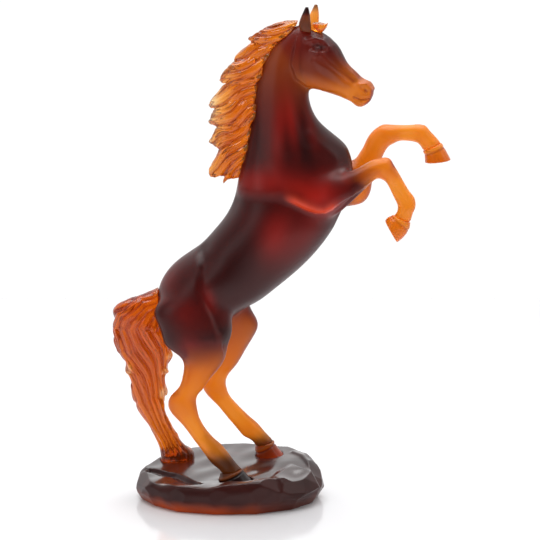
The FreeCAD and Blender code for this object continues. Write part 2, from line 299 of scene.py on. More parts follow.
def waves(x, y, lengths, seed):
    """Gentle swells that run in many directions, between about -1 and 1."""
    random = np.random.default_rng(seed)
    total = np.zeros(len(x))
    for length in lengths:
        turn, start = random.uniform(0, 2 * math.pi, 2)
        total += np.sin((x * math.cos(turn) + y * math.sin(turn)) * 2 * math.pi / length + start)
    return total / math.sqrt(len(lengths)) / 1.4


class Carver:
    """Carves a skin with strokes drawn in side view. Strokes add up until cut() is called."""

    def __init__(self, piece, turned=False):
        self.piece = piece
        self.points = positions(piece)
        self.normals = normals(piece)
        if turned:
            self.points = straightened(self.points, POLL_X)
            self.normals = straightened(self.normals, 0)
        self.amount = np.zeros(len(self.points))

    def where(self, side, zone):
        """The share of a stroke that each vertex takes: its own side of the horse, inside the zone."""
        share = np.ones(len(self.points))
        if side:
            share = ramped(0.05, 0.45, self.normals[:, 1] * side)
        if zone:
            for axis, (low, high) in zone.items():
                value = self.points[:, "xyz".index(axis)]
                edge = 14 if axis == "x" else 1.5
                share = share * ramped(low - edge, low, value) * (1 - ramped(high, high + edge, value))
        return share

    def stroke(self, route, width, depth, side=0, zone=None):
        """A ridge (depth above 0) or groove (below 0) along the route."""
        distance, _ = from_route(self.points[:, (0, 2)], route)
        self.amount += depth * np.exp(-((distance / width) ** 2)) * self.where(side, zone)

    def step(self, route, left_rise, left_width, right_rise, right_width, side=0, zone=None, soft=0.7):
        """An edge along the route, with its own height and run-out on each side of it."""
        distance, hand = from_route(self.points[:, (0, 2)], route)
        left = left_rise * np.exp(-((distance / left_width) ** 2))
        right = right_rise * np.exp(-((distance / right_width) ** 2))
        share = ramped(-soft, soft, hand * distance)
        self.amount += (share * left + (1 - share) * right) * self.where(side, zone)

    def cut(self):
        push(self.piece, self.amount)


def straightened(points, pivot_x):
    """Points of the turned head as they lie on a head that looks straight ahead."""
    x = points[:, 0] - pivot_x
    y = points[:, 1]
    turned_x = pivot_x + math.cos(HEAD_TURN) * x - math.sin(HEAD_TURN) * y
    turned_y = math.sin(HEAD_TURN) * x + math.cos(HEAD_TURN) * y
    return np.column_stack((turned_x, turned_y, points[:, 2]))


def on_body(piece, slot, *nodes):
    """Ties a finished piece to the frame."""
    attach(piece, "root")
    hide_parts(*nodes)


# ---------------------------------------------------------------- horse


def carve_body(skin):
    carver = Carver(skin)
    thigh_edge = [(-22, 198), (-20, 184), (-20, 170), (-16.5, 162), (-11, 151), (-6.5, 139), (-5, 130)]
    for side in (RIGHT, LEFT):
        trunk = {"y": (-60, -6)} if side == RIGHT else {"y": (6, 60)}
        under_elbow = {"x": (54, 100), "y": trunk["y"]}
        carver.step(SHOULDER_EDGE, 1.6, 22, -1.2, 14, side, trunk, soft=6)
        carver.step(SHOULDER_EDGE, 1.2, 12, -1.8, 10, side, under_elbow, soft=1.6)
        carver.step(thigh_edge, -1.3, 9, 0.5, 12, side, trunk, soft=5)
        carver.stroke(thigh_edge[1:6], 3.0, -1.0, side, trunk)
        carver.stroke([(28, 262), (38, 244)], 7, -0.8, side, trunk)
        carver.stroke([(60, 268), (66, 240)], 7, -0.9, side, trunk)
        carver.stroke([(80, 268), (62, 286)], 4, 0.7, side, trunk)
        carver.stroke([(-40, 176), (-12, 190)], 8, -0.8, side, trunk)
        neck = {"z": (268, 345)}
        carver.stroke([(46, 330), (52, 300), (60, 280)], 5.0, -1.2, side, neck)
        carver.stroke([(38, 334), (38, 300), (42, 274)], 4.5, 0.5, side, neck)
        carver.stroke([(29, 330), (28, 300), (26, 272)], 4.0, -0.4, side, neck)
    carve_foreleg(carver, RIGHT)
    carve_foreleg(carver, LEFT)
    carve_hind_leg(carver, RIGHT)
    carve_hind_leg(carver, LEFT)
    carver.cut()


def carve_foreleg(carver, side):
    """Forearm muscle, knee and fetlock. The left foreleg reaches higher and further out."""
    if side == RIGHT:
        zone = {"y": (-60, -9), "x": (86, 150)}
        knee = [(118, 268), (121, 258)]
        forearm = [(92, 256), (108, 262)]
        cannon = [(124, 249), (134, 234)]
        fetlock = [(137, 232), (129, 229)]
    else:
        zone = {"y": (9, 60), "x": (90, 175)}
        knee = [(118, 285), (124, 276)]
        forearm = [(98, 250), (110, 270)]
        cannon = [(130, 281), (143, 281)]
        fetlock = [(150, 286), (146, 274)]
    carver.stroke(forearm, 5, 0.9, side, zone)
    carver.stroke(knee, 4, 0.9, 0, zone)
    carver.stroke(cannon, 1.6, -0.9, side, zone)
    carver.stroke(cannon, 1.6, -0.9, -side, zone)
    carver.stroke(fetlock, 3, 0.5, 0, zone)


def carve_hind_leg(carver, side):
    """Gaskin, hock with its point and tendon, cannon and fetlock."""
    if side == RIGHT:
        zone = {"y": (-60, -9), "z": (20, 140)}
        tendon = [(-32, 112), (-35, 100), (-40, 90)]
        hock = [(-40, 84), (-30, 78)]
        cannon = [(-32, 72), (-20, 56)]
        fetlock = [(-9, 45), (-14, 40)]
    else:
        zone = {"y": (9, 60), "z": (24, 140)}
        tendon = [(-13, 108), (-13, 98), (-16, 90)]
        hock = [(-16, 83), (-7, 79)]
        cannon = [(-6, 72), (6, 58)]
        fetlock = [(17, 50), (12, 44)]
    carver.stroke(tendon, 2.2, -1.1, side, zone)
    carver.stroke(tendon, 2.2, -1.1, -side, zone)
    carver.stroke(hock, 4, 0.8, 0, zone)
    carver.stroke(cannon, 1.6, -0.8, side, zone)
    carver.stroke(cannon, 1.6, -0.8, -side, zone)
    carver.stroke(fetlock, 3.4, 0.6, 0, zone)


def refine_head(skin):
    """Gives the head a mesh twice as fine as the rest of the skin."""
    points = straightened(positions(skin), POLL_X)
    inside = (points[:, 2] > 302) & (points[:, 0] + 0.55 * (points[:, 2] - 330) > 52)
    select_only(skin)
    skin.data.polygons.foreach_set("select", [False] * len(skin.data.polygons))
    for face in skin.data.polygons:
        face.select = all(inside[v] for v in face.vertices)
    bpy.ops.object.mode_set(mode="EDIT")
    bpy.ops.mesh.select_mode(type="FACE")
    bpy.ops.mesh.subdivide(number_cuts=1)
    bpy.ops.mesh.vertices_smooth(factor=0.5, repeat=2)
    bpy.ops.mesh.select_all(action="DESELECT")
    bpy.ops.object.mode_set(mode="OBJECT")


def carve_head(skin):
    carver = Carver(skin, turned=True)
    head = {"x": (46, 140), "z": (300, 372)}
    for side in (RIGHT, LEFT):
        jaw = [(53, 350), (51, 338), (54, 327), (62, 320.5), (72, 318.5)]
        carver.step(jaw, 1.3, 7, -1.4, 4, side, head, soft=1.4)
        carver.stroke([(60, 334), (66, 332)], 7, 0.9, side, head)
        carver.stroke([(74, 346), (86, 335), (98, 325)], 2.2, -1.1, side, head)
        carver.stroke([(70, 341), (82, 333), (92, 324)], 2.4, 1.1, side, head)
        carver.stroke([(72, 333), (86, 324)], 3.0, -0.9, side, head)
        carver.stroke([(62, 355), (68, 356.5), (74, 355), (79, 350)], 1.8, 1.5, side, head)
        carver.stroke([(66.5, 350.5), (70, 351.8), (74.5, 349.5)], 2.6, -1.9, side, head)
        carver.stroke([(69, 350.3), (72, 349.8)], 1.5, 2.6, side, head)
        carver.stroke([(66, 347.6), (70, 346.4), (75, 347)], 0.9, 0.9, side, head)
        carver.stroke([(67, 353), (71, 353.6), (75, 351.5)], 0.9, 1.0, side, head)
        carver.stroke([(105, 321), (107.5, 318.5)], 1.5, -2.2, side, head)
        carver.stroke([(102.5, 323.5), (107, 324), (110, 320)], 1.2, 1.1, side, head)
        carver.stroke([(109, 313), (103.5, 312.5), (98, 314.5)], 0.8, -1.5, side, head)
        carver.stroke([(105, 309.5), (99, 311), (94, 313)], 1.6, 0.8, side, head)
        carver.stroke([(98, 318), (92, 320)], 3.0, -0.6, side, head)
    carver.cut()


def paint_body(skin):
    """How thick the crystal is at each point, how much of the burgundy charge it holds, and where red glow,
    shade and the orange light of the shoulder's lip are painted.
    """
    depth = thickness(skin)
    points = positions(skin)
    x, y, z = points.T
    straight = straightened(points, POLL_X)
    burgundy = np.ones(len(points))
    foreleg = (x > 80) & (z > 200) & (z < 300)
    forearm = np.where(y < 0, ramped(88, 113, x), ramped(86, 98, x))
    burgundy = np.where(foreleg & (np.abs(y) > 6), np.minimum(burgundy, 1 - forearm), burgundy)
    right_hind = 1 - ramped(132, 106, z)
    left_hind = 1 - ramped(150, 132, z) * (0.55 + 0.45 * ramped(140, 108, z))
    hind = np.where(y < 0, right_hind, left_hind)
    burgundy = np.where((z < 160) & (np.abs(y) > 4), np.minimum(burgundy, hind), burgundy)
    burgundy = burgundy * (1 - 0.22 * ramped(290, 350, z))
    head = ramped(50, 58, straight[:, 0] + 0.55 * (straight[:, 2] - 330)) * ramped(300, 306, straight[:, 2])
    jaw_line = np.interp(straight[:, 0], (50, 72, 90, 112), (325, 324, 317, 315))
    under = ramped(9, -3, straight[:, 2] - jaw_line)
    muzzle = ramped(74, 106, straight[:, 0] + 0.35 * (330 - straight[:, 2]))
    amber = np.clip(0.8 * under + 0.6 * muzzle, 0, 0.86)
    face = (0.86 + 0.14 * ramped(330, 350, straight[:, 2])) * (1 - amber)
    burgundy = burgundy + head * (face - burgundy)
    set_attribute(skin, "thickness", depth)
    pastern = ramped(46, 37, z)
    burgundy = np.maximum(burgundy, 0.9 * pastern)
    burgundy = averaged(skin, burgundy, 10)
    # The face's marks are written into the burgundy share: painted shade in its carved hollows, and darker
    # lines.
    drawn = head * face_lines(*straight[:, (0, 2)].T)
    set_attribute(skin, "burgundy", np.clip(np.maximum(burgundy, drawn), 0, 1))
    set_attribute(skin, "glow", np.clip(glows(x, z), 0, 1))
    # Painted shade and darker patches, with the pasterns' own darker colour added.
    set_attribute(skin, "shade", np.clip(np.maximum(shades(x, z), 0.9 * pastern), 0, 1))
    set_attribute(skin, "lit_edge", lit_edges(x, y, z))


def face_lines(x, z):
    """The face's dark marks: painted shade in the carved eye, nostril, mouth line and groove under the
    cheek, a dark line over the eye and the darker top of the nose.
    """
    flat = np.column_stack((x, z))
    marks = 1.0 * patch(x, z, (70.5, 350.3), 3.6, 1.9, -8)
    marks += 0.9 * patch(x, z, (106.8, 319.5), 1.9, 1.5, -40)
    for route, width, strength in (
        ([(109, 313), (103.5, 312.5), (98, 314.5)], 0.8, 0.8),
        ([(74, 346), (86, 335), (97, 326)], 2.0, 0.75),
        ([(79, 352), (90.5, 341.5), (102, 330)], 3.4, 0.95),
        ([(64, 356), (70, 357), (77, 353)], 1.2, 0.6),
    ):
        distance, _ = from_route(flat, route)
        marks += strength * np.exp(-((distance / width) ** 2))
    return marks


def glows(x, z):
    """Where the crystal lets most red light through."""
    total = 0.75 * patch(x, z, (24, 250), 26, 9, 3)
    total += 0.8 * patch(x, z, (68, 240), 17, 12)
    total += 0.65 * patch(x, z, (35, 210), 10, 17, -20)
    total += 0.35 * patch(x, z, (58, 212), 10, 26, -40)
    total += 0.22 * patch(x, z, (-34, 152), 12, 11)
    total += 0.4 * patch(x, z, (-30, 129), 8, 9)
    total += 0.25 * patch(x, z, (-47, 176), 7, 14, -30)
    total += 0.5 * patch(x, z, (-14, 163), 4, 8, 20)
    total += 0.5 * patch(x, z, (38, 288), 5, 26, -4)
    total += 0.6 * patch(x, z, (47, 296), 4, 20, 8)
    total += 0.3 * patch(x, z, (62, 292), 4, 16, 10)
    return total


def lit_edges(x, y, z):
    """The thin lower lip of the shoulder, where light comes out orange."""
    lip, hand = from_route(np.column_stack((x, z)), SHOULDER_EDGE[3:10])
    lip_light = np.exp(-((lip / np.where(hand > 0, 4.5, 1.0)) ** 2)) * ramped(40, 52, x)
    return lip_light * ramped(6, 14, np.abs(y))


def shades(x, z):
    """Where it looks nearly black: painted shade in the creases under the shoulder and the thigh and round
    the eye, and darker patches on the chest, neck, barrel and face.
    """
    total = 0.9 * patch(x, z, (50, 280), 12, 20, 10)
    total += 0.7 * patch(x, z, (62, 258), 10, 22, 12)
    total += 0.6 * patch(x, z, (22, 285), 4, 34, 4)
    total += 0.5 * patch(x, z, (43, 306), 3, 16, 6)
    total += 0.4 * patch(x, z, (56, 305), 3, 18, 8)
    total += 0.9 * patch(x, z, (38, 231), 26, 6, -8)
    total += 0.8 * patch(x, z, (-7, 143), 4, 12, 25)
    total += 0.6 * patch(x, z, (-20, 190), 4, 14, -6)
    total += 0.5 * patch(x, z, (0, 180), 12, 22, -30)
    total += 0.9 * patch(x, z, (68, 351), 4.5, 2.2)
    total += 0.5 * patch(x, z, (82, 350), 5, 12, 40)
    total += 0.5 * patch(x, z, (18, 200), 14, 24, -35)
    return total


def blend_limbs(skin):
    """Runs the limbs' roots smoothly into the trunk, and the head into the neck."""
    x, _, z = positions(skin).T
    shoulders = ramped(30, 44, x) * ramped(104, 92, x) * ramped(212, 222, z) * ramped(276, 266, z)
    hips = ramped(118, 136, z) * ramped(196, 184, z) * ramped(24, 12, x)
    poll = ramped(296, 306, z) * ramped(36, 44, x) * ramped(66, 56, x) * 0.5
    share = np.clip(shoulders + hips + poll, 0, 1)
    relax(skin, share, 70)


def make_body():
    skin = copy_of_nodes("horse_body", SKIN_NODES)
    remesh(skin, BODY_VOXEL, 8)
    blend_limbs(skin)
    refine_head(skin)
    carve_body(skin)
    carve_head(skin)
    apply_modifier(skin, "SMOOTH", factor=0.4, iterations=2)
    paint_body(skin)
    bpy.ops.object.shade_smooth()
    skin.data.materials.append(satin_crystal())
    on_body(skin, "burgundy_crystal", *SKIN_NODES)
    return skin


# Each hoof's top and sole in side view: front then rear end of the top, front then rear end of the sole.
HOOF_ENDS = {
    "right_fore_hoof": ((136.4, 220), (123.4, 225.4), (126.6, 204.8), (117.4, 220.8)),
    "left_fore_hoof": ((161.5, 273.9), (147.6, 267.7), (169, 260.8), (149.3, 258.5)),
    "right_hind_hoof": ((10.4, 29.4), (-6.3, 27), (19, 19.2), (-6.6, 19.2)),
    "left_hind_hoof": ((34.2, 37.6), (19.6, 34), (42.6, 26.6), (21.4, 23.6)),
}


def make_hoof(node):
    """A hoof with a raised coronet band under its top edge and a shallow groove under the band."""
    hoof = copy_of_nodes(f"{node}_cast", [node])
    remesh(hoof, HOOF_VOXEL, 4)
    ends = np.array(HOOF_ENDS[node], float)
    top, sole = ends[:2].mean(axis=0), ends[2:].mean(axis=0)
    down = (sole - top) / np.hypot(*(sole - top))
    points = positions(hoof)
    depth = (points[:, (0, 2)] - top) @ down
    band = np.exp(-(((depth - 1.6) / 1.1) ** 2))
    groove = np.exp(-(((depth - 3.6) / 0.7) ** 2))
    relief = 0.5 if "hind" in node else 0.25
    push(hoof, relief * (band - groove))
    set_attribute(hoof, "coronet", np.clip(band + 0.35 * ramped(1.5, 0, depth), 0, 1))
    # Painted shade in the groove under the coronet band.
    set_attribute(hoof, "groove", 2 * relief * groove)
    bpy.ops.object.shade_smooth()
    hoof.data.materials.append(hoof_crystal(node))
    on_body(hoof, "smoky_crystal" if "hind" in node else "amber_crystal", node)
    return hoof


def make_ear(node, burgundy):
    ear = copy_of_nodes(f"{node}_cast", [node])
    remesh(ear, EAR_VOXEL, 3)
    set_attribute(ear, "thickness", thickness(ear))
    dark_tip = 0.7 * ramped(373, 379, positions(ear)[:, 2])
    set_attribute(ear, "burgundy", np.clip(burgundy + dark_tip, 0, 1))
    set_attribute(ear, "shade", np.clip(0.7 * burgundy + dark_tip, 0, 1))
    ear.data.materials.append(bpy.data.materials["satin_crystal"])
    on_body(ear, "burgundy_crystal" if burgundy > 0.5 else "amber_crystal", node)
    return ear


def groove_mane(mane):
    """Engraves strands that leave the crest and sweep down to the locks' tips, and returns the painted
    shade for the grooves between them.
    """
    points = positions(mane)
    x, y, z = points.T
    out, _ = from_route(points[:, (0, 2)], CREST)
    side = np.where(y > 0, 1, 0)
    fall = np.interp(z, (250, 290, 330, 355, 368), (0.95, 0.75, 0.6, 0.4, 0.2)) - 0.004 * out
    lane = (z + fall * (26 - x)) / 7.6 + 0.22 * np.sin(0.16 * x + 0.11 * z + 2 * side) + 0.4 * side
    broad = np.abs(np.sin(math.pi * lane))
    fine = np.abs(np.sin(math.pi * (2.4 * lane + 0.25 * np.sin(0.3 * x))))
    push(mane, 1.3 * (broad**0.8 - 1) + 0.5 * (fine**0.8 - 1))
    return np.clip(0.9 - 1.0 * broad**0.8 + 0.35 * (1 - fine), 0, 1)


def wisps(points):
    """The thin ends of hair that leave the tail's front edge."""
    x, _, z = points.T
    total = np.zeros(len(points))
    for place_x, place_z, height in ((-45, 112, 3.5), (-49, 99.5, 2.5), (-50.5, 82, 6.0), (-77, 101, 5)):
        total += np.exp(-(((x - place_x) / 3.0) ** 2) - ((z - place_z) / height) ** 2)
    return total


def groove_tail(tail):
    """Cuts long grooves that run down the tail and sweep forwards, and returns the painted shade for the
    grooves, darker still towards the tail's foot.
    """
    outer = np.array([station[0] for station in TAIL_COURSE], float)
    inner = np.array([station[1] for station in TAIL_COURSE], float)
    points = positions(tail)
    flat = points[:, (0, 2)]
    down = along(flat, (outer + inner) / 2)
    stations = range(len(TAIL_COURSE))
    back = np.column_stack([np.interp(down, stations, outer[:, axis]) for axis in (0, 1)])
    front = np.column_stack([np.interp(down, stations, inner[:, axis]) for axis in (0, 1)])
    width = front - back
    across = 2 * ((flat - back) * width).sum(axis=1) / (width**2).sum(axis=1) - 1
    sweep = 0.75 * ramped(1.6, 5.5, down)
    side = np.where(points[:, 1] > np.interp(down, stations, [s[2] for s in TAIL_COURSE]), 1, 0)
    lane = 2.7 * (across - sweep) + 0.3 * np.sin(0.9 * down + 2.5 * across + 2 * side) + 0.4 * side
    fine = np.abs(np.sin(math.pi * (2.3 * lane + 0.3 * np.sin(2 * down))))
    broad = np.abs(np.sin(math.pi * lane))
    start = ramped(0.6, 2.6, down)
    height = 2.3 * (broad**0.8 - 1) + 0.7 * (fine**0.8 - 1)
    foot = ramped(36, 29, points[:, 2])
    push(tail, height * (0.15 + 0.85 * start) * (1 - 0.7 * foot) + 2.2 * wisps(points))
    return np.clip(1.15 - 1.1 * broad**0.9 + 0.25 * (1 - fine) + 0.8 * foot, 0, 1)


def keep_inside(piece, box):
    """Trims what stands past the box of the node that the piece replaces."""
    low, high = (np.array(corner) / MM for corner in box)
    set_positions(piece, np.clip(positions(piece), low, high))


def make_mane():
    mane = copy_of_nodes("mane_cast", ["mane"])
    remesh(mane, MANE_VOXEL, 2)
    push(mane, np.full(len(mane.data.vertices), 0.5))
    groove = groove_mane(mane)
    keep_inside(mane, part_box("mane"))
    out, _ = from_route(positions(mane)[:, (0, 2)], CREST)
    set_attribute(mane, "thickness", thickness(mane, rounds=3))
    # Painted shade in the grooves and in the hollows between the locks.
    set_attribute(mane, "groove", np.clip(groove + 0.7 * hollow(mane, 20, 1.0), 0, 1))
    set_attribute(mane, "tip", np.clip((out - 3) / 33, 0, 1))
    bpy.ops.object.shade_smooth()
    mane.data.materials.append(hair_crystal())
    on_body(mane, "amber_crystal", "mane")


def make_tail():
    tail = copy_of_nodes("tail_cast", ["tail"])
    remesh(tail, TAIL_VOXEL, 3)
    push(tail, np.full(len(tail.data.vertices), 0.6))
    groove = groove_tail(tail)
    keep_inside(tail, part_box("tail"))
    set_attribute(tail, "thickness", thickness(tail, rounds=3))
    # Painted shade in the grooves, darker towards the foot.
    set_attribute(tail, "groove", groove)
    set_attribute(tail, "tip", np.clip(1.1 * wisps(positions(tail)), 0, 0.9))
    bpy.ops.object.shade_smooth()
    tail.data.materials.append(hair_crystal())
    on_body(tail, "amber_crystal", "tail")


def make_forelock():
    tuft = copy_of_nodes("forelock_cast", ["forelock"])
    remesh(tuft, EAR_VOXEL, 2)
    set_attribute(tuft, "thickness", thickness(tuft))
    set_attribute(tuft, "tip", np.full(len(tuft.data.vertices), 0.2))
    tuft.data.materials.append(hair_crystal())
    on_body(tuft, "amber_crystal", "forelock")


# The chisel's flats round the plinth: the way each faces, how far it leans back, how deep it is cut.
CHISEL_FLATS = [
    (2, 14, 1.2),
    (22, 6, 1.6),
    (47, 12, 1.0),
    (74, 5, 1.4),
    (101, 10, 0.9),
    (128, 4, 1.6),
    (152, 12, 1.2),
    (172, 6, 0.8),
    (187, 16, 1.0),
    (203, 2, 1.4),
    (226, 5, 1.0),
    (247, 1, 1.3),
    (266, 4, 0.8),
    (284, 0, 1.2),
    (303, 6, 1.8),
    (322, 14, 1.6),
    (343, 18, 1.4),
    (306, 44, 3.2),
    (329, 36, 3.6),
    (350, 50, 2.6),
    (196, 40, 3.0),
]

# How far the front rim stands above the plinth's sloping top, by x.
FRONT_RIM = [
    (-66, 1),
    (-52, 2.5),
    (-30, 2.6),
    (-14, 3.4),
    (0, 4.7),
    (14, 5.2),
    (26, 6),
    (42, 5),
    (48, 0),
    (60, 0),
]


def chisel(points, flats):
    """Cuts flats off the sides of a block."""
    for facing, lean, depth in flats:
        facing, lean = math.radians(facing), math.radians(lean)
        out = np.array(
            (math.cos(facing) * math.cos(lean), math.sin(facing) * math.cos(lean), math.sin(lean))
        )
        beyond = points @ out - ((points @ out).max() - depth)
        points = points - np.clip(beyond, 0, None)[:, None] * out
    return points


def flaked(x, y, seed, count):
    """The surface of broken stone: many small tilted flats that meet in sharp edges."""
    random = np.random.default_rng(seed)
    lowest = np.full(len(x), np.inf)
    for _ in range(count):
        place_x, place_y = random.uniform(-16, 16, 2)
        tilt_x, tilt_y = random.uniform(-0.8, 0.8, 2)
        flat = tilt_x * (x - place_x) + tilt_y * (y - place_y) + random.uniform(0, 3)
        lowest = np.minimum(lowest, flat)
    return lowest


def shape_rock(rock):
    points = positions(rock)
    x, y, z = points.T
    top = ramped(0.45, 0.8, normals(rock)[:, 2]) * ramped(8, 12, z)
    upper = ramped(10, 18, z)
    points[:, :2] *= 1 + 0.065 * (ramped(8, 17, z) * ramped(5, -25, y))[:, None]
    rim = np.interp(x, *zip(*FRONT_RIM)) * ramped(-26, -44, y)
    swell = 0.6 * waves(x, y, (60, 42, 30, 22, 17), 4) * top
    dent_route = [(-61, 2), (-52, -3), (-42, -10.5), (-32, -22), (-24, -31)]
    dent, hand = from_route(points[:, :2], dent_route)
    dent_depth = -3.6 * np.exp(-((dent / np.where(hand > 0, 1.1, 4.5)) ** 2)) * top
    ridge, _ = from_route(points[:, :2], [(50, 22), (56, 14), (64, -4)])
    broken = np.clip(0.5 * flaked(x - 52, y + 20, 7, 14), -2.5, 2.5)
    lift = rim * upper + swell + dent_depth + 1.6 * np.exp(-((ridge / 2.2) ** 2)) * top
    lift += patch(x, y, (52, -22), 11, 15, -12) * upper * (broken - 1.5)
    points[:, 2] += lift
    points = chisel(points, CHISEL_FLATS)
    x, y, z = points.T
    rough = ramped(30, 44, x) * ramped(6, -12, y) * ramped(6, 12, z)
    flakes = flaked(1.3 * (x - 52), 1.3 * (y + 22), 11, 22)
    points[:, 2] += rough * np.clip(0.8 * (flakes - flakes[rough > 0.5].mean()), -2.2, 1.8)
    set_positions(rock, points)


def make_plinth():
    rock = copy_of_nodes("plinth_cast", ["plinth"])
    remesh(rock, ROCK_VOXEL, 2)
    shape_rock(rock)
    keep_inside(rock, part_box("plinth"))
    set_attribute(rock, "polish", averaged(rock, ramped(0.84, 0.96, normals(rock)[:, 2]), 1))
    x, y, z = positions(rock).T
    low = ramped(11, 1, z + 1.5 * waves(x, y, (19, 13), 3))
    lit = 0.9 * patch(x, z, (-44, 3), 20, 30)
    lit += 0.7 * patch(x, z, (-12, 3), 16, 30)
    lit += 0.4 * patch(x, z, (14, 3), 14, 30)
    set_attribute(rock, "lit_edge", np.clip(low * (0.12 + lit), 0, 1))
    bpy.ops.object.shade_smooth()
    rock.data.materials.append(plinth_crystal())
    on_body(rock, "smoky_crystal", "plinth")
    return rock


# ---------------------------------------------------------------- materials


class Recipe:
    """A material's nodes, added one by one."""

    def __init__(self, name):
        self.material = bpy.data.materials.new(name)
        self.material.use_nodes = True
        self.tree = self.material.node_tree
        self.shader = self.tree.nodes["Principled BSDF"]

    def add(self, kind, **settings):
        node = self.tree.nodes.new(kind)
        for key, value in settings.items():
            setattr(node, key, value)
        return node

    def link(self, source, target):
        self.tree.links.new(source, target)

    def attribute(self, name):
        return self.add("ShaderNodeAttribute", attribute_name=name).outputs["Fac"]

    def ramp(self, source, stops):
        """A colour ramp. Each stop is (place, (red, green, blue))."""
        node = self.add("ShaderNodeValToRGB")
        elements = node.color_ramp.elements
        while len(elements) < len(stops):
            elements.new(0.5)
        for element, (place, colour) in zip(elements, stops):
            element.position = place
            element.color = (*colour, 1)
        self.link(source, node.inputs["Fac"])
        return node.outputs["Color"]

    def range(self, source, low, high, out_low=0.0, out_high=1.0):
        node = self.add("ShaderNodeMapRange")
        limits = {"From Min": low, "From Max": high, "To Min": out_low, "To Max": out_high}
        for key, value in limits.items():
            node.inputs[key].default_value = value
        self.link(source, node.inputs["Value"])
        return node.outputs["Result"]

    def mix(self, share, first, second, blend="MIX"):
        node = self.add("ShaderNodeMix", data_type="RGBA", blend_type=blend)
        for socket, value in ((node.inputs[0], share), (node.inputs[6], first), (node.inputs[7], second)):
            if isinstance(value, (float, int)):
                socket.default_value = value
            elif isinstance(value, tuple):
                socket.default_value = (*value, 1)
            else:
                self.link(value, socket)
        return node.outputs[2]

    def noise(self, scale, detail=2.0, stretch=(1, 1, 1), distortion=0.0):
        place = self.add("ShaderNodeTexCoord")
        mapping = self.add("ShaderNodeMapping")
        mapping.inputs["Scale"].default_value = stretch
        self.link(place.outputs["Object"], mapping.inputs["Vector"])
        node = self.add("ShaderNodeTexNoise")
        node.inputs["Scale"].default_value = scale
        node.inputs["Detail"].default_value = detail
        node.inputs["Distortion"].default_value = distortion
        self.link(mapping.outputs["Vector"], node.inputs["Vector"])
        return node.outputs["Fac"]

    def set(self, **values):
        for key, value in values.items():
            self.shader.inputs[key.replace("_", " ")].default_value = value

    def absorb(self, colour, density):
        """Crystal that takes out more light the further it goes through it."""
        volume = self.add("ShaderNodeVolumeAbsorption")
        volume.inputs["Color"].default_value = (*colour, 1)
        volume.inputs["Density"].default_value = density
        self.link(volume.outputs["Volume"], self.tree.nodes["Material Output"].inputs["Volume"])


AMBER_BY_THICKNESS = [
    (0.00, (1.0, 0.62, 0.25)),
    (0.12, (0.95, 0.38, 0.035)),
    (0.30, (0.80, 0.23, 0.005)),
    (0.60, (0.50, 0.09, 0.004)),
    (1.00, (0.25, 0.02, 0.002)),
]
HAIR_BY_THICKNESS = [
    (0.00, (1.0, 0.62, 0.16)),
    (0.20, (0.95, 0.36, 0.03)),
    (0.50, (0.80, 0.22, 0.008)),
    (1.00, (0.50, 0.10, 0.004)),
]
HAIR_TO_ITS_TIPS = [
    (0.00, (0.50, 0.085, 0.003)),
    (0.30, (0.68, 0.18, 0.010)),
    (0.60, (0.95, 0.46, 0.11)),
    (0.80, (1.0, 0.80, 0.50)),
    (1.00, (1.0, 0.88, 0.70)),
]
BURGUNDY_BY_THICKNESS = [
    (0.00, (0.50, 0.08, 0.03)),
    (0.15, (0.28, 0.030, 0.016)),
    (0.40, (0.15, 0.012, 0.008)),
    (0.70, (0.085, 0.006, 0.005)),
    (1.00, (0.050, 0.003, 0.003)),
]


# What amber crystal leaves of the light that goes through it, and how strongly it takes out the rest.
AMBER_ABSORPTION = ((0.97, 0.78, 0.25), 90)


def satin_crystal():
    r = Recipe("satin_crystal")
    depth = r.range(r.attribute("thickness"), 0, 60)
    amber = r.ramp(depth, AMBER_BY_THICKNESS)
    burgundy = r.ramp(depth, BURGUNDY_BY_THICKNESS)
    # Darkened to near black by painted shade and darker patches, then lit by painted red glow and the
    # painted orange light of the shoulder's lip.
    burgundy = r.mix(r.attribute("shade"), burgundy, (0.022, 0.001, 0.001))
    burgundy = r.mix(r.attribute("glow"), burgundy, (0.42, 0.014, 0.009))
    burgundy = r.mix(r.attribute("lit_edge"), burgundy, (1.0, 0.10, 0.025))
    colour = r.mix(r.attribute("burgundy"), amber, burgundy)
    r.link(colour, r.shader.inputs["Base Color"])
    # The crystal gives off a little light in its own colour: a painted glow.
    r.link(colour, r.shader.inputs["Emission Color"])
    r.set(Roughness=0.38, IOR=1.5, Specular_IOR_Level=0.12, Emission_Strength=0.12)
    r.shader.inputs["Transmission Weight"].default_value = 0.6
    r.absorb(*AMBER_ABSORPTION)
    return r.material


def hoof_crystal(node):
    r = Recipe(f"{node}_crystal")
    wall, band = {
        "right_fore_hoof": ((0.80, 0.20, 0.006), (0.95, 0.34, 0.03)),
        "left_fore_hoof": ((0.72, 0.17, 0.005), (0.95, 0.34, 0.03)),
        "right_hind_hoof": ((0.022, 0.004, 0.003), (0.32, 0.070, 0.007)),
        "left_hind_hoof": ((0.44, 0.048, 0.003), (0.45, 0.11, 0.006)),
    }[node]
    colour = r.mix(r.attribute("coronet"), wall, band)
    # Painted shade in the groove under the band.
    colour = r.mix(r.attribute("groove"), colour, tuple(0.45 * value for value in wall))
    r.link(colour, r.shader.inputs["Base Color"])
    # A little light given off in the hoof's own colour: a painted glow.
    r.link(colour, r.shader.inputs["Emission Color"])
    r.set(Roughness=0.28, IOR=1.5, Specular_IOR_Level=0.25, Emission_Strength=0.12)
    r.shader.inputs["Transmission Weight"].default_value = 0.5
    return r.material


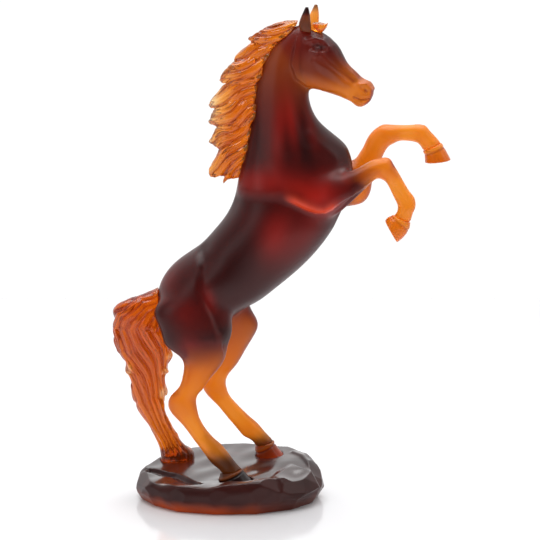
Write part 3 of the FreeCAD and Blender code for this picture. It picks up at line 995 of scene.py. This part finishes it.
def hair_crystal():
    """Clear amber that pales to straw at the thin tips, with painted shade in its grooves."""
    existing = bpy.data.materials.get("hair_crystal")
    if existing:
        return existing
    r = Recipe("hair_crystal")
    depth = r.range(r.attribute("thickness"), 0, 40)
    colour = r.ramp(depth, HAIR_BY_THICKNESS)
    pale = r.ramp(r.attribute("tip"), HAIR_TO_ITS_TIPS)
    colour = r.mix(r.range(r.attribute("tip"), 0, 0.5, 0.25, 1.0), colour, pale)
    # A deeper amber painted into the grooves as shade.
    deep = r.mix(0.75, colour, (0.36, 0.055, 0.003), "MULTIPLY")
    colour = r.mix(r.attribute("groove"), colour, deep)
    r.link(colour, r.shader.inputs["Base Color"])
    # A little light given off in the hair's own colour: a painted glow.
    r.link(colour, r.shader.inputs["Emission Color"])
    r.set(Roughness=0.09, IOR=1.5, Specular_IOR_Level=0.3, Emission_Strength=0.08)
    r.shader.inputs["Transmission Weight"].default_value = 0.85
    r.absorb(*AMBER_ABSORPTION)
    return r.material


def plinth_crystal():
    """Dark brown crystal: a polished top, duller cut walls, and red where light comes through the foot."""
    r = Recipe("plinth_crystal")
    streaks = r.noise(38, 3.0, stretch=(0.5, 1.6, 1), distortion=0.6)
    colour = r.ramp(streaks, [(0.35, (0.030, 0.006, 0.005)), (0.7, (0.062, 0.016, 0.013))])
    colour = r.mix(r.attribute("lit_edge"), colour, (0.62, 0.085, 0.008))
    r.link(colour, r.shader.inputs["Base Color"])
    # A little light given off in the plinth's own colour: a painted glow.
    r.link(colour, r.shader.inputs["Emission Color"])
    r.set(Roughness=0.3, IOR=1.5, Specular_IOR_Level=0.2, Coat_Roughness=0.17, Coat_IOR=1.75)
    r.set(Emission_Strength=0.1)
    r.link(r.attribute("polish"), r.shader.inputs["Coat Weight"])
    r.shader.inputs["Transmission Weight"].default_value = 0.35
    r.absorb((0.9, 0.4, 0.2), 60)
    return r.material


# ---------------------------------------------------------------- stage


def add_area_light(name, place, target, size, power, colour=(1, 1, 1)):
    bpy.ops.object.light_add(type="AREA", location=place)
    light = bpy.context.object
    light.name = name
    light.data.shape = "RECTANGLE"
    light.data.size, light.data.size_y = size
    light.data.energy = power
    light.data.color = colour
    light.rotation_euler = (Vector(target) - Vector(place)).to_track_quat("-Z", "Y").to_euler()
    return light


def make_stage():
    bpy.ops.mesh.primitive_plane_add(size=5, location=(0, -1.8, 0))
    floor = bpy.context.object
    floor.name = "floor"
    r = Recipe("pale_floor")
    r.set(Base_Color=(0.82, 0.82, 0.84, 1), Roughness=0.12, IOR=1.7)
    r.set(Emission_Color=(1, 1, 1, 1), Emission_Strength=0.05)
    floor.data.materials.append(r.material)

    world = bpy.data.worlds.new("studio")
    world.use_nodes = True
    nodes = world.node_tree.nodes
    links = world.node_tree.links
    direction = nodes.new("ShaderNodeTexCoord").outputs["Generated"]
    split = nodes.new("ShaderNodeSeparateXYZ")
    links.new(direction, split.inputs["Vector"])
    depth = nodes.new("ShaderNodeMapRange")
    depth.inputs["From Min"].default_value = -1
    depth.inputs["From Max"].default_value = 1
    links.new(split.outputs["Y"], depth.inputs["Value"])
    room = nodes.new("ShaderNodeValToRGB")
    for place, value in ((0.32, 0.14), (0.55, 0.5), (0.7, 1.0)):
        element = room.color_ramp.elements.new(place)
        element.color = (value, value, value, 1)
    room.color_ramp.elements[0].color = (0.06, 0.06, 0.065, 1)
    room.color_ramp.elements[-1].color = (1, 1, 1, 1)
    links.new(depth.outputs["Result"], room.inputs["Fac"])
    background = nodes["Background"]
    links.new(room.outputs["Color"], background.inputs["Color"])
    background.inputs["Strength"].default_value = 1.05
    bpy.context.scene.world = world
    bpy.context.scene.view_settings.view_transform = "Standard"

    middle = (0.03, 0, 0.18)
    add_area_light("overhead", (0, 0.1, 1.2), middle, (1.2, 1.0), 15)
    add_area_light("front_left", (-1.0, -0.9, 0.7), middle, (0.5, 0.9), 2)
    add_area_light("right", (1.1, -0.3, 0.8), middle, (0.4, 0.9), 1.5)


CAMERA_PITCH = math.radians(12)
CAMERA_DISTANCE = 1.8
CAMERA_TARGET = Vector((0.03135, 0, 0.17927))


def make_camera():
    """Square to the horse's right side, looking a little down on it."""
    back = Vector((0, -math.cos(CAMERA_PITCH), math.sin(CAMERA_PITCH)))
    place = CAMERA_TARGET + CAMERA_DISTANCE * back
    bpy.ops.object.camera_add(location=place)
    camera = bpy.context.object
    camera.name = "camera"
    camera.rotation_euler = (CAMERA_TARGET - place).to_track_quat("-Z", "Y").to_euler()
    camera.data.sensor_width = 36
    camera.data.lens = 157.9
    bpy.context.scene.camera = camera


def main():
    make_body()
    for node in HOOVES:
        make_hoof(node)
    make_ear("right_ear", 0.92)
    make_ear("left_ear", 0.1)
    make_forelock()
    make_mane()
    make_tail()
    make_plinth()
    make_stage()
    make_camera()


main()
